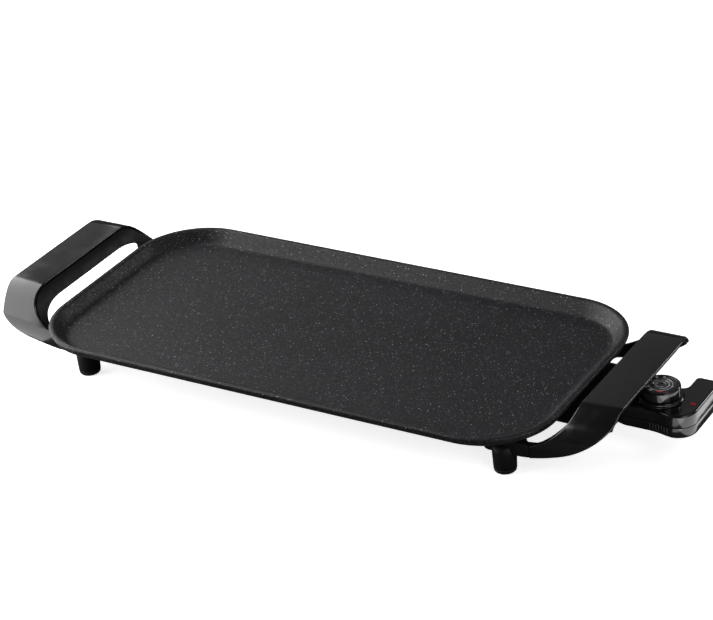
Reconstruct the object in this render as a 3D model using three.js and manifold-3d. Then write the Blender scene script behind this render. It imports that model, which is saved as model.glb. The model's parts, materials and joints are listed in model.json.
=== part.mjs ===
// Electric griddle: a cast plate on two arched plastic handles with four feet, and a plug-in
// thermostat controller with a dial. Millimetres, +X along the plate towards the controller,
// +Y to the back, +Z up. The feet stand on z = 0.
import * as THREE from 'three';
import { mergeVertices } from 'three/addons/utils/BufferGeometryUtils.js';
import Module from 'manifold-3d';

const wasm = await Module();
wasm.setup();

// ---------------------------------------------------------------- driving dimensions
const GAP = 0.3; // clearance between neighbouring pieces

const PLATE_LENGTH = 480;
const PLATE_WIDTH = 240;
const PLATE_CORNER = 63; // corner radius of the outer rim
const RIM_TOP = 47.5;
const COOK_TOP = 36; // cooking floor
const PLATE_UNDERSIDE = 31;

const STRAP_TOP = 62.3; // top face of the handle arch
const STRAP_INNER = 259.5; // edge of the strap that faces the plate
const STRAP_OUTER = 293.4;
const LEG_FRONT = -84; // outer faces of the handle's two legs
const LEG_BACK = 89;
const ARCH_CORNER = 32;
const COVER_THICKNESS = 2.2;
const COVER_END = 226; // the cover reaches this far in along the arms
const FRAME_THICKNESS = 2.5;
const FLANGE_THICKNESS = 3;
const FLANGE_TOP = 47.6; // lower edge of the flange between the legs
const FRAME_EDGE = { x: 291.6, bottom: 50.5 }; // the frame's outer edge, hidden under the cover's lip
const ARM_END = 183; // inner end of the arms under the plate
const ARM_BOTTOM = 17.6;
const ARM_TOP = PLATE_UNDERSIDE - GAP;

const FOOT = { x: 201.7, y: 79.4, topRadius: 9.9, bottomRadius: 9.4, tipHeight: 4 };
const BOSS_RADIUS = 5.5;
const BOSS_BOTTOM = 24;
const SCREW_SHELF = 17.5; // seat of the handle screw's washer inside the foot

const PIN_Z = 28.4; // height of the terminal pins, probe and heating element
const PIN_Y = 10;
const PIN_RADIUS = 2.1;
const INSULATOR_RADIUS = 3.4;
const ELEMENT_RADIUS = 3;
const PROBE_RADIUS = 2.4;
const TERMINAL_X = 226.2; // where the heating element ends and its terminal pins begin
const SHROUD = { x0: 212, x1: 268, bottom: 21.2, top: 35.2, halfWidth: 30, hoodHalfWidth: 48 };
const HOOD_THICKNESS = 1.5; // ledge each side of the shroud's top

const CONTROL = {
  x0: 270, x1: 333.5, front: -23, back: 20, bottom: 23.9, split: 33, top: 44, wall: 2, floor: 1.3,
};
const TAIL = { x0: 313, back: 40.5 };
const CONTROL_CORNER = 16; // radius of the corner at the free end
const DIAL = { x: 300, top: 56, radius: 15.75, bottom: 47.6 };
const LAMP_X = 326.6;
const CORD = { x: 324, z: 33.2, radius: 3.2 };

// ---------------------------------------------------------------- solids
function solid(geometry) {
  const shared = geometry.clone();
  shared.deleteAttribute('normal');
  shared.deleteAttribute('uv');
  const merged = mergeVertices(shared, 1e-4);
  return new wasm.Manifold(new wasm.Mesh({
    numProp: 3,
    vertProperties: new Float32Array(merged.attributes.position.array),
    triVerts: new Uint32Array(merged.index.array),
  }));
}

function geometryOf(body) {
  const mesh = body.getMesh();
  const geometry = new THREE.BufferGeometry();
  geometry.setAttribute('position', new THREE.BufferAttribute(mesh.vertProperties, 3));
  geometry.setIndex(new THREE.BufferAttribute(mesh.triVerts, 1));
  geometry.computeVertexNormals();
  return geometry;
}

const join = (...bodies) => bodies.reduce((all, body) => all.add(body));
const cut = (body, ...tools) => tools.reduce((left, tool) => left.subtract(tool), body);

function box(x0, x1, y0, y1, z0, z1) {
  const geometry = new THREE.BoxGeometry(x1 - x0, y1 - y0, z1 - z0);
  return solid(geometry.translate((x0 + x1) / 2, (y0 + y1) / 2, (z0 + z1) / 2));
}

// Upright cylinder or cone between two heights.
function post(x, y, z0, z1, radius, topRadius = radius, sides = 16) {
  const geometry = new THREE.CylinderGeometry(topRadius, radius, z1 - z0, sides).rotateX(Math.PI / 2);
  return solid(geometry.translate(x, y, (z0 + z1) / 2));
}

function rodX(x0, x1, y, z, radius, sides = 12) {
  const geometry = new THREE.CylinderGeometry(radius, radius, x1 - x0, sides).rotateZ(Math.PI / 2);
  return solid(geometry.translate((x0 + x1) / 2, y, z));
}

function rodY(y0, y1, x, z, radius, sides = 16) {
  const geometry = new THREE.CylinderGeometry(radius, radius, y1 - y0, sides);
  return solid(geometry.translate(x, (y0 + y1) / 2, z));
}

// Solid of revolution about the upright line through (x, y); the profile is [radius, z] pairs.
function turned(x, y, profile, sides = 24) {
  const points = profile.map(([radius, z]) => new THREE.Vector2(radius, z));
  const geometry = new THREE.LatheGeometry(points, sides).rotateX(Math.PI / 2);
  return solid(geometry.translate(x, y, 0));
}

// Prisms of a shape: drawn in plan (x, y), in side view (x, z) or in end view (y, z).
function prismZ(shape, z0, z1, curveSegments = 5) {
  const geometry = new THREE.ExtrudeGeometry(shape, { depth: z1 - z0, bevelEnabled: false, curveSegments });
  return solid(geometry.translate(0, 0, z0));
}

function prismY(shape, y0, y1, curveSegments = 8) {
  const geometry = new THREE.ExtrudeGeometry(shape, { depth: y1 - y0, bevelEnabled: false, curveSegments });
  return solid(geometry.rotateX(Math.PI / 2).translate(0, y1, 0));
}

function prismX(shape, x0, x1, curveSegments = 8) {
  const geometry = new THREE.ExtrudeGeometry(shape, { depth: x1 - x0, bevelEnabled: false, curveSegments });
  const axes = new THREE.Matrix4().makeBasis(
    new THREE.Vector3(0, 1, 0), new THREE.Vector3(0, 0, 1), new THREE.Vector3(1, 0, 0));
  return solid(geometry.applyMatrix4(axes).translate(x0, 0, 0));
}

function roundedRect(x0, x1, y0, y1, radius) {
  const shape = new THREE.Shape();
  shape.absarc(x1 - radius, y0 + radius, radius, -Math.PI / 2, 0);
  shape.absarc(x1 - radius, y1 - radius, radius, 0, Math.PI / 2);
  shape.absarc(x0 + radius, y1 - radius, radius, Math.PI / 2, Math.PI);
  shape.absarc(x0 + radius, y0 + radius, radius, Math.PI, Math.PI * 1.5);
  shape.closePath();
  return shape;
}

// Path of straight runs with round bends, stepped only where it bends.
class BentPath extends THREE.Curve {
  constructor(corners, bendRadius, bendSteps = 5) {
    super();
    this.stops = [corners[0]];
    for (let i = 1; i < corners.length - 1; i++) {
      const into = corners[i].clone().sub(corners[i - 1]).normalize();
      const outOf = corners[i + 1].clone().sub(corners[i]).normalize();
      const start = corners[i].clone().addScaledVector(into, -bendRadius);
      const centre = start.clone().addScaledVector(outOf, bendRadius);
      for (let step = 0; step <= bendSteps; step++) {
        const angle = (step / bendSteps) * (Math.PI / 2);
        this.stops.push(centre.clone()
          .addScaledVector(outOf, -bendRadius * Math.cos(angle))
          .addScaledVector(into, bendRadius * Math.sin(angle)));
      }
    }
    this.stops.push(corners[corners.length - 1]);
  }

  get steps() {
    return this.stops.length - 1;
  }

  getPointAt(u) {
    return this.stops[Math.round(u * this.steps)].clone();
  }

  getTangentAt(u) {
    const i = Math.round(u * this.steps);
    const before = this.stops[Math.max(i - 1, 0)];
    const after = this.stops[Math.min(i + 1, this.steps)];
    return after.clone().sub(before).normalize();
  }
}

function sweep(path, section, curveSegments = 3) {
  return solid(new THREE.ExtrudeGeometry(section, { steps: path.steps, extrudePath: path, curveSegments }));
}

const circle = (radius) => new THREE.Shape().absarc(0, 0, radius, 0, Math.PI * 2);

// ---------------------------------------------------------------- plate and heating element
// The plate is a loft through rounded rectangles: [inset from the outer rim, height].
const PLATE_SECTION = [
  [20, PLATE_UNDERSIDE], [15, 32.4], [4.5, 39.6], [2.6, 40.2], [0, 45.6], [0.3, 46.8], [1.6, RIM_TOP],
  [4, RIM_TOP], [5.6, 46.6], [11.2, 39.2], [13.8, 36.7], [17.5, COOK_TOP],
];

function rimRing(inset, z, cornerSteps) {
  const ring = [];
  const radius = PLATE_CORNER - inset;
  for (let corner = 0; corner < 4; corner++) {
    const signX = corner === 0 || corner === 3 ? 1 : -1;
    const signY = corner < 2 ? 1 : -1;
    for (let step = 0; step <= cornerSteps; step++) {
      const angle = (corner + step / cornerSteps) * (Math.PI / 2);
      ring.push(
        signX * (PLATE_LENGTH / 2 - PLATE_CORNER) + radius * Math.cos(angle),
        signY * (PLATE_WIDTH / 2 - PLATE_CORNER) + radius * Math.sin(angle), z);
    }
  }
  return ring;
}

function plateBlank(cornerSteps = 8) {
  const count = 4 * (cornerSteps + 1);
  const rings = PLATE_SECTION.map(([inset, z]) => rimRing(inset, z, cornerSteps));
  const vertices = rings.flat();
  const triangles = [];
  for (let level = 0; level < rings.length - 1; level++) {
    for (let i = 0; i < count; i++) {
      const a = level * count + i;
      const b = level * count + (i + 1) % count;
      triangles.push(a, b, b + count, a, b + count, a + count);
    }
  }
  const top = (rings.length - 1) * count;
  for (let i = 1; i < count - 1; i++) {
    triangles.push(0, i + 1, i, top, top + i, top + i + 1);
  }
  const geometry = new THREE.BufferGeometry();
  geometry.setAttribute('position', new THREE.Float32BufferAttribute(vertices, 3));
  geometry.setIndex(triangles);
  return solid(geometry);
}

// Loop of the element under the plate, from one terminal round to the other.
function elementPath(terminalX) {
  const [right, left, side] = [178, -198, 50];
  const corners = [
    [terminalX, -PIN_Y], [right, -PIN_Y], [right, -side], [left, -side],
    [left, side], [right, side], [right, PIN_Y], [terminalX, PIN_Y],
  ];
  return new BentPath(corners.map(([x, y]) => new THREE.Vector3(x, y, PIN_Z)), 14);
}

const footPlaces = [];
for (const [side, signX] of [['left', -1], ['right', 1]]) {
  for (const [end, signY] of [['front', -1], ['back', 1]]) {
    footPlaces.push({ name: `${side}_${end}`, x: signX * FOOT.x, y: signY * FOOT.y });
  }
}
const shroudScrews = [['front', -24], ['back', 24]].map(([name, y]) => ({ name, x: 218, y }));

const PROBE_WELL = { x0: 150, x1: 208, halfWidth: 6.2, bottom: 23.2, bore: 3.9 };

function griddlePlate() {
  const ribSection = new THREE.Shape();
  const [ribHalfHeight, ribHalfWidth] = [2.9, 7];
  ribSection.moveTo(-ribHalfHeight, -ribHalfWidth).lineTo(ribHalfHeight, -ribHalfWidth)
    .lineTo(ribHalfHeight, ribHalfWidth).lineTo(-ribHalfHeight, ribHalfWidth).closePath();
  const rib = sweep(elementPath(205), ribSection);
  const groove = sweep(elementPath(TERMINAL_X), circle(ELEMENT_RADIUS + GAP));
  const well = PROBE_WELL;
  const wellBlock = box(well.x0, well.x1, -well.halfWidth, well.halfWidth, well.bottom, 32);
  let plate = join(plateBlank(), rib, wellBlock);
  plate = cut(plate, groove, rodX(well.x0 + 3, well.x1 + 40, 0, PIN_Z, well.bore));
  for (const { x, y } of footPlaces) {
    plate = plate.add(post(x, y, BOSS_BOTTOM, 32, BOSS_RADIUS));
    plate = plate.subtract(post(x, y, BOSS_BOTTOM - 1, 33, 2.3, 2.3, 12));
  }
  for (const { x, y } of shroudScrews) {
    plate = plate.subtract(post(x, y, 30, 34.2, 1.9, 1.9, 12));
  }
  return plate;
}

// ---------------------------------------------------------------- handles (built for the right end)
// Control points of a leg's outer edge, from below the strap to where the arm runs level.
const HIGH_EDGE = [[288, 46], [270, 31.5], [250, 25], [238, 21.1]];
const LOW_EDGE = [[291.3, 43], [283, 31], [264, 25.2], [246, 20.8]];
// The two ends differ in the outer edges of their legs, and in which leg's edge draws in as it
// turns down: 1 is the back leg and -1 the front leg.
const RIGHT_HANDLE = { front: HIGH_EDGE, back: HIGH_EDGE, drawnIn: 1 };
const LEFT_HANDLE = { front: LOW_EDGE, back: HIGH_EDGE, drawnIn: -1 };

// Side view of strap and arm: down the outer edge, inwards under the plate, back up the inner edge.
function strapSide(edge) {
  const shape = new THREE.Shape();
  shape.moveTo(STRAP_INNER, STRAP_TOP);
  shape.lineTo(STRAP_OUTER, STRAP_TOP);
  shape.lineTo(STRAP_OUTER, 56);
  shape.bezierCurveTo(...edge[0], ...edge[1], ...edge[2]);
  shape.bezierCurveTo(...edge[3], 226, ARM_BOTTOM, 208, ARM_BOTTOM);
  shape.lineTo(ARM_END + 3, ARM_BOTTOM);
  shape.lineTo(ARM_END, ARM_BOTTOM + 3);
  shape.lineTo(ARM_END, ARM_TOP);
  shape.lineTo(229, ARM_TOP);
  shape.bezierCurveTo(243, 37, STRAP_INNER - 1, 48, STRAP_INNER, STRAP_TOP);
  shape.closePath();
  return shape;
}

// What is cut away beside the strap, seen from above, so that one leg draws in.
function besideLeg(signY, inset) {
  const x = (value) => value - inset;
  const waste = new THREE.Shape();
  waste.moveTo(x(STRAP_OUTER + 6), signY * 52);
  waste.lineTo(x(STRAP_OUTER + 0.5), signY * 52);
  waste.bezierCurveTo(x(STRAP_OUTER), signY * 62, x(289.5), signY * 70, x(288), signY * 78);
  waste.lineTo(x(286.5), signY * 95);
  waste.lineTo(x(STRAP_OUTER + 6), signY * 95);
  waste.closePath();
  return prismZ(waste, 0, 70);
}

function handleSide({ front, back, drawnIn }, inset = 0) {
  const legs = join(prismY(strapSide(front), -95, 0, 7), prismY(strapSide(back), 0, 95, 7));
  return legs.subtract(besideLeg(drawnIn, inset));
}

// Side view of the flange that runs along the inner edge of the strap.
function flangeSide() {
  const far = STRAP_INNER + FLANGE_THICKNESS;
  const shape = new THREE.Shape();
  shape.moveTo(STRAP_INNER, STRAP_TOP);
  shape.bezierCurveTo(STRAP_INNER - 1, 48, 243, 37, 229, ARM_TOP);
  shape.lineTo(220, ARM_TOP);
  shape.lineTo(220, ARM_TOP - FLANGE_THICKNESS);
  shape.lineTo(228.5, ARM_TOP - FLANGE_THICKNESS);
  shape.bezierCurveTo(245, 34, far - 1, 46.5, far, STRAP_TOP);
  shape.closePath();
  return shape;
}

// End view of an arch, open at the bottom only where the prisms are cut.
function archShape(inset) {
  const [front, back, top] = [LEG_FRONT + inset, LEG_BACK - inset, STRAP_TOP - inset];
  const corner = ARCH_CORNER - inset;
  const shape = new THREE.Shape();
  shape.moveTo(front, 0);
  shape.lineTo(back, 0);
  shape.absarc(back - corner, top - corner, corner, 0, Math.PI / 2);
  shape.absarc(front + corner, top - corner, corner, Math.PI / 2, Math.PI);
  shape.closePath();
  return shape;
}

// End view of the opening in the flange, wide at the arms and drawn in to a low arch.
function openingShape() {
  const [front, back, top] = [LEG_FRONT + 4.5, LEG_BACK - 4.5, FLANGE_TOP];
  const shape = new THREE.Shape();
  shape.moveTo(front, 0);
  shape.lineTo(back, 0);
  shape.lineTo(back, 33);
  shape.bezierCurveTo(back - 7.5, 42, back - 19.5, top, back - 39.5, top);
  shape.lineTo(front + 39.5, top);
  shape.bezierCurveTo(front + 19.5, top, front + 7.5, 42, front, 33);
  shape.closePath();
  return shape;
}

const arch = (inset) => prismX(archShape(inset), 170, 300, 7);

const COVER_SCREW = { x: 278, y: 36, boss: 3.6, head: 6 };
const FRAME_INSET = COVER_THICKNESS + GAP;
const FRAME_UNDERSIDE = STRAP_TOP - FRAME_INSET - FRAME_THICKNESS;

function handleCover(handle) {
  const shell = cut(arch(0), arch(COVER_THICKNESS));
  let cover = shell.intersect(handleSide(handle)).subtract(box(170, COVER_END, -95, 95, 0, 70));
  for (const y of [-COVER_SCREW.y, COVER_SCREW.y]) {
    const { x, boss } = COVER_SCREW;
    cover = cover.add(post(x, y, FRAME_UNDERSIDE + 0.2, STRAP_TOP - 1, boss));
    cover = cover.subtract(post(x, y, FRAME_UNDERSIDE - 1, STRAP_TOP - 1.6, 1.8, 1.8, 12));
  }
  return cover;
}

// Plan of one arm's end, flush with the cover where the cover stops. The leg's outer face is at y = leg.
function armPlan(leg) {
  const sign = Math.sign(leg);
  const behindCover = leg - sign * FRAME_INSET;
  const shape = new THREE.Shape();
  shape.moveTo(ARM_END, sign * 62);
  shape.lineTo(ARM_END, leg - sign * 7);
  shape.quadraticCurveTo(ARM_END, leg, ARM_END + 8, leg);
  shape.lineTo(COVER_END - GAP, leg);
  shape.lineTo(COVER_END - GAP, behindCover);
  shape.lineTo(228, behindCover);
  shape.lineTo(228, behindCover - sign * 2);
  shape.lineTo(222, behindCover - sign * 3);
  shape.lineTo(212, sign * 62);
  shape.closePath();
  return shape;
}

function handleFrame(handle) {
  const side = handleSide(handle, STRAP_OUTER - FRAME_EDGE.x);
  const flange = prismY(flangeSide(), -95, 95, 7);
  const throat = prismX(openingShape(), 170, 300, 6);
  // the wall stops short of the cover's edge where the strap turns under
  const turn = join(side, box(280, FRAME_EDGE.x, -95, 95, FRAME_EDGE.bottom, 70))
    .subtract(besideLeg(handle.drawnIn, STRAP_OUTER - FRAME_EDGE.x));
  const shell = cut(arch(FRAME_INSET), arch(FRAME_INSET + FRAME_THICKNESS),
    box(170, 222, -95, 95, 0, 70), box(262, 300, -95, 95, 0, 38), box(FRAME_EDGE.x, 300, -95, 95, 0, 70));
  let frame = join(shell.intersect(turn), cut(arch(FRAME_INSET), throat).intersect(flange));
  for (const leg of [LEG_FRONT, LEG_BACK]) {
    frame = frame.add(prismZ(armPlan(leg), 5, ARM_TOP).intersect(side));
  }
  for (const signY of [-1, 1]) {
    const y = signY * FOOT.y;
    const legBottom = FOOT.tipHeight + GAP;
    frame = join(frame,
      post(FOOT.x, y, legBottom, ARM_BOTTOM + 1, FOOT.bottomRadius, FOOT.topRadius),
      post(FOOT.x, y, ARM_BOTTOM + 1, ARM_BOTTOM + 7, FOOT.topRadius, 4.4));
    frame = cut(frame,
      post(FOOT.x, y, legBottom - 1, SCREW_SHELF, 4.9),
      post(FOOT.x, y, SCREW_SHELF - 1, 40, 2.4, 2.4, 12),
      post(FOOT.x, y, BOSS_BOTTOM - GAP, 40, BOSS_RADIUS + GAP),
      post(COVER_SCREW.x, signY * COVER_SCREW.y, 50, 70, COVER_SCREW.boss + GAP));
  }
  return frame;
}

// Mirror image left to right or front to back, with the faces turned to keep pointing out.
function mirror(body, axis) {
  const mirrored = geometryOf(body);
  mirrored.scale(axis === 'x' ? -1 : 1, axis === 'y' ? -1 : 1, 1);
  const index = mirrored.index.array;
  for (let i = 0; i < index.length; i += 3) {
    [index[i], index[i + 1]] = [index[i + 1], index[i]];
  }
  return solid(mirrored);
}

// ---------------------------------------------------------------- fasteners and feet
const footTip = () => turned(0, 0, [
  [0, 0], [7.4, 0], [8.9, 1.3], [FOOT.bottomRadius, FOOT.tipHeight],
  [4.6, FOOT.tipHeight], [4.5, 10], [0, 10]], 16);

const handleScrew = () => turned(0, 0, [
  [0, SCREW_SHELF - 4.6], [3.9, SCREW_SHELF - 4.2], [3.9, SCREW_SHELF - 1.9],
  [2, SCREW_SHELF - 1.9], [2, 31.6], [0, 31.6]], 10);

const handleWasher = () => turned(0, 0, [
  [2.3, SCREW_SHELF - 1.5], [4.5, SCREW_SHELF - 1.5], [4.5, SCREW_SHELF - GAP], [2.3, SCREW_SHELF - GAP],
  [2.3, SCREW_SHELF - 1.5]], 10);

const coverScrew = () => turned(0, 0, [
  [0, FRAME_UNDERSIDE - 2.4], [COVER_SCREW.head - 1, FRAME_UNDERSIDE - 2.2],
  [COVER_SCREW.head, FRAME_UNDERSIDE - 1.2], [COVER_SCREW.head, FRAME_UNDERSIDE - GAP],
  [1.5, FRAME_UNDERSIDE - GAP], [1.5, STRAP_TOP - 2.2], [0, STRAP_TOP - 2.2]], 12);

// ---------------------------------------------------------------- socket and terminals
function socketShroud() {
  const { x0, x1, bottom, top, halfWidth, hoodHalfWidth } = SHROUD;
  const side = new THREE.Shape();
  side.moveTo(x0, bottom + 2).lineTo(x0 + 2, bottom).lineTo(x1, bottom).lineTo(x1, top - 1);
  side.lineTo(x1 - 1, top).lineTo(233, top).lineTo(222, ARM_TOP).lineTo(x0, ARM_TOP).closePath();
  const plan = roundedRect(x0, x1, -halfWidth, halfWidth, 6);
  const mouthX = 233;
  let shroud = prismY(side, -halfWidth, halfWidth).intersect(prismZ(plan, 0, 60));
  // thin hood that reaches past the side walls
  const hoodPlan = roundedRect(x0, x1, -hoodHalfWidth, hoodHalfWidth, 6);
  const hood = prismY(side, -hoodHalfWidth, hoodHalfWidth)
    .intersect(prismZ(hoodPlan, top - HOOD_THICKNESS, 60));
  shroud = shroud.add(hood);
  const mouth = box(mouthX, x1 + 5, -18, 18, 23.2, 33.6);
  // side pockets keep the walls of the moulding even
  const pocket = box(226, x1 - 3, 21, halfWidth - 3, bottom - 1, top - 2.4);
  const passages = [-PIN_Y, PIN_Y].map((y) => rodX(x0 - 5, mouthX + 1, y, PIN_Z, INSULATOR_RADIUS + GAP));
  shroud = cut(shroud, mouth, pocket, mirror(pocket, 'y'), ...passages,
    rodX(x0 - 5, mouthX + 1, 0, PIN_Z, PROBE_WELL.bore));
  for (const { x, y } of shroudScrews) {
    shroud = cut(shroud, post(x, y, bottom - 1, 24.4, 4), post(x, y, 20, 40, 2.1, 2.1, 12));
  }
  return shroud;
}

const shroudScrew = () => turned(0, 0, [
  [0, 21.6], [3.6, 22], [3.6, 24.1], [1.6, 24.1], [1.6, 33.4], [0, 33.4]], 10);

const insulator = (y) => cut(
  rodX(TERMINAL_X + GAP, TERMINAL_X + 6, y, PIN_Z, INSULATOR_RADIUS),
  rodX(TERMINAL_X - 1, TERMINAL_X + 8, y, PIN_Z, PIN_RADIUS + GAP));

function terminalPin(y) {
  const [start, end] = [TERMINAL_X + GAP, 253];
  const tip = new THREE.SphereGeometry(PIN_RADIUS, 12, 6).translate(end, y, PIN_Z);
  return join(rodX(start, end, y, PIN_Z, PIN_RADIUS), solid(tip));
}

const probeGuide = () => {
  const { x0, x1, bore } = PROBE_WELL;
  return cut(
    rodX(x0 + 4, x1 + 2, 0, PIN_Z, bore - GAP), rodX(x0 + 3, x1 + 3, 0, PIN_Z, PROBE_RADIUS + GAP));
};

// ---------------------------------------------------------------- controller
function controlPlan(inset = 0) {
  const { x0, x1, front, back } = CONTROL;
  const round = CONTROL_CORNER - inset;
  const [tailX, tailBack] = [TAIL.x0 + inset, TAIL.back - inset];
  const [tailRound, hollow] = [3.5 - inset / 2, 6 + inset];
  const shape = new THREE.Shape();
  shape.moveTo(x0 + inset, front + 5 + inset);
  shape.lineTo(x0 + 7, front + 3.2 + inset);
  shape.lineTo(298, front + 3.2 + inset);
  shape.quadraticCurveTo(305, front + 3 + inset, 312, front + 1 + inset);
  shape.absarc(x1 - CONTROL_CORNER, front + CONTROL_CORNER, round, -Math.PI / 2, 0);
  shape.absarc(x1 - inset - tailRound, tailBack - tailRound, tailRound, 0, Math.PI / 2);
  shape.absarc(tailX + tailRound, tailBack - tailRound, tailRound, Math.PI / 2, Math.PI);
  shape.absarc(TAIL.x0 + inset - hollow, back - inset + hollow, hollow, 0, -Math.PI / 2, true);
  shape.lineTo(x0 + 8, back - inset);
  shape.lineTo(x0 + inset, back - 2 - inset);
  shape.closePath();
  return shape;
}

const controlScrews = [[291, -14.6], [291, 12.6], [322, -11.6]].map(([x, y]) => ({ x, y }));

function upperHousing() {
  const { x0, split, top, wall } = CONTROL;
  const chamfer = 1.2;
  let shell = join(
    prismZ(controlPlan(), split + GAP, top - chamfer),
    prismZ(controlPlan(chamfer / 2), top - chamfer - 0.5, top));
  shell = shell.subtract(prismZ(controlPlan(wall), split - 1, top - wall));
  for (const { x, y } of controlScrews) {
    shell = shell.add(post(x, y, split + GAP, top - 1, 3.4, 3.4, 16));
    shell = shell.subtract(post(x, y, split - 1, top - 3, 1.6, 1.6, 10));
  }
  return cut(shell,
    post(DIAL.x, 0, top - 5, top + 1, 3),
    post(LAMP_X, 0, top - 5, top + 1, 2.7, 2.7, 20),
    rodY(TAIL.back - 4, TAIL.back + 4, CORD.x, CORD.z, 4.6),
    box(x0 - 2, x0 + 5, -16.6, 16.6, 20, split));
}

function lowerHousing() {
  const { x0, bottom, split, wall, floor } = CONTROL;
  const chamfer = 1.2;
  let shell = join(
    prismZ(controlPlan(), bottom + chamfer, split),
    prismZ(controlPlan(chamfer / 2), bottom, bottom + chamfer + 0.5));
  shell = shell.subtract(prismZ(controlPlan(wall), bottom + floor, split + 1));
  for (const { x, y } of controlScrews) {
    shell = shell.add(post(x, y, bottom + 1, split, 4.2, 4.2, 20));
    shell = cut(shell, post(x, y, bottom - 1, bottom + 2.7, 3.1, 3.1, 16));
    shell = cut(shell, post(x, y, bottom, 40, 1.7, 1.7, 10));
  }
  // grip ribs on the near wall
  const ribDepth = cut(
    prismZ(controlPlan(-0.6), bottom, split), prismZ(controlPlan(0.5), bottom - 1, split + 1));
  for (let i = 0; i < 6; i++) {
    const x = 299.5 + i * 3;
    shell = shell.add(box(x, x + 1.4, -26, -17, bottom + 2, split - 0.5).intersect(ribDepth));
  }
  return cut(shell,
    rodY(TAIL.back - 4, TAIL.back + 4, CORD.x, CORD.z, 4.6),
    box(x0 - 2, x0 + 5, -16.6, 16.6, bottom + floor, split + 1));
}

const controlScrew = () => {
  const seat = CONTROL.bottom + 2.7;
  return turned(0, 0, [
    [0, seat - 2.4], [2.8, seat - 2], [2.8, seat - GAP], [1.3, seat - GAP], [1.3, 40], [0, 40]], 10);
};

function contactBlock() {
  const nose = prismX(roundedRect(-16.2, 16.2, 23.6, 33.2, 2), 240, CONTROL.x0 - GAP, 3);
  const tongue = box(CONTROL.x0 - 1, 284, -16.2, 16.2, CONTROL.bottom + CONTROL.floor + GAP, 32);
  const bores = [-PIN_Y, PIN_Y].map((y) => rodX(239, 270, y, PIN_Z, 3.5));
  return cut(join(nose, tongue), ...bores, rodX(239, 290, 0, PIN_Z, PROBE_RADIUS + GAP));
}

const receptacle = (y) => cut(rodX(241, 269, y, PIN_Z, 3.2), rodX(240, 266, y, PIN_Z, PIN_RADIUS + GAP));

function sensingProbe() {
  const [start, end] = [158.5, 283.5];
  const tip = new THREE.SphereGeometry(PROBE_RADIUS, 12, 6).translate(start, 0, PIN_Z);
  const collar = rodX(236.5, 239.5, 0, PIN_Z, 3.9);
  return join(rodX(start, end, 0, PIN_Z, PROBE_RADIUS), solid(tip), collar);
}

const BLADE = { x0: 293, x1: 318, fixedZ: 28.2, movingZ: 33.6, thickness: 0.6, contactX: 315 };

function fixedBlade() {
  const { x0, x1, fixedZ, thickness, contactX } = BLADE;
  return join(box(x0, x1, -4, 4, fixedZ, fixedZ + thickness), box(x0, x0 + 1, -4, 4, 25.6, fixedZ + 0.3),
    post(contactX, 0, fixedZ + 0.3, fixedZ + 1.8, 2, 2, 16));
}

function movingBlade() {
  const { x0, x1, movingZ, thickness, contactX } = BLADE;
  const eye = rodY(-4, 4, x0 + 1, movingZ + 0.3, 1.2, 12);
  return join(box(x0 + 1, x1, -4, 4, movingZ, movingZ + thickness), eye,
    post(contactX, 0, movingZ - 1.2, movingZ + 0.3, 2, 2, 16));
}

const bladeStack = () => cut(
  box(285, 295.4, -7.4, 7.4, CONTROL.bottom + 2, 38),
  box(BLADE.x0 - GAP, 300, -4.3, 4.3, 20, 36.5));

const spindle = () => turned(DIAL.x, 0, [
  [0, 34.5], [1.5, 34.9], [1.5, 36.2], [3.9, 36.2], [3.9, 37.6], [2.5, 37.6], [2.5, 52.8], [0, 52.8]], 12);

// Fixed ring under the knob, with two steps.
const scaleRing = () => turned(DIAL.x, 0, [
  [4.5, CONTROL.top + GAP], [18.4, CONTROL.top + GAP], [18.5, 45.2], [17.6, 45.8],
  [17.5, DIAL.bottom - GAP], [4.5, DIAL.bottom - GAP], [4.5, CONTROL.top + GAP]], 28);

function dialKnob() {
  const { x, top, radius, bottom } = DIAL;
  return turned(x, 0, [
    [0, 53.1], [2.8, 53.1], [2.8, bottom + 0.4], [5, bottom + 0.4], [5, 52.6], [13.7, 52.6],
    [14.1, bottom], [radius - 0.4, bottom], [radius, bottom + 0.9], [radius, top - 1],
    [radius - 1.2, top], [13.2, top], [13.1, top - 0.9], [0, top - 0.9]], 28);
}

const dialFace = () => cut(
  turned(DIAL.x, 0, [
    [0, DIAL.top - 0.6], [12.8, DIAL.top - 0.6], [12.8, DIAL.top - 0.1], [0, DIAL.top - 0.1]], 24),
  box(DIAL.x - 0.7, DIAL.x + 0.7, -12.2, -8, DIAL.top - 0.35, DIAL.top + 1));

const lens = () => turned(LAMP_X, 0, [
  [0, 41], [3.4, 41], [3.4, 41.7], [2.4, 41.7], [2.4, CONTROL.top + 0.3], [1.7, CONTROL.top + 0.8],
  [0, CONTROL.top + 1]], 14);

const lamp = () => turned(LAMP_X, 0, [
  [0, 27], [2, 27], [2, 38.4], [1.2, 40], [0, 40.5]], 10);

function cordGland() {
  const { x, z, radius } = CORD;
  const back = TAIL.back;
  return cut(
    join(rodY(back - 2.6, back + 1, x, z, 4.3), rodY(back - 4, back - 2.3, x, z, 5.4),
      rodY(back + GAP, back + 6, x, z, 5.4)),
    rodY(back - 6, back + 8, x, z, radius, 14));
}

// ---------------------------------------------------------------- assembly
const BLACK_PLASTIC = { color: 0x121214, roughness: 0.35, metalness: 0 };
const MATT_PLASTIC = { color: 0x1c1c1e, roughness: 0.7, metalness: 0 };
const STEEL = { color: 0xb8bbc0, roughness: 0.35, metalness: 1 };
const BRASS = { color: 0xb5a05a, roughness: 0.35, metalness: 1 };
const CERAMIC = { color: 0xe4e0d6, roughness: 0.6, metalness: 0 };

const group = new THREE.Group();
group.name = 'electric_griddle';
// the frame's origin is the middle of the footprint's box
group.position.x = (STRAP_OUTER - CONTROL.x1) / 2;

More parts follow.
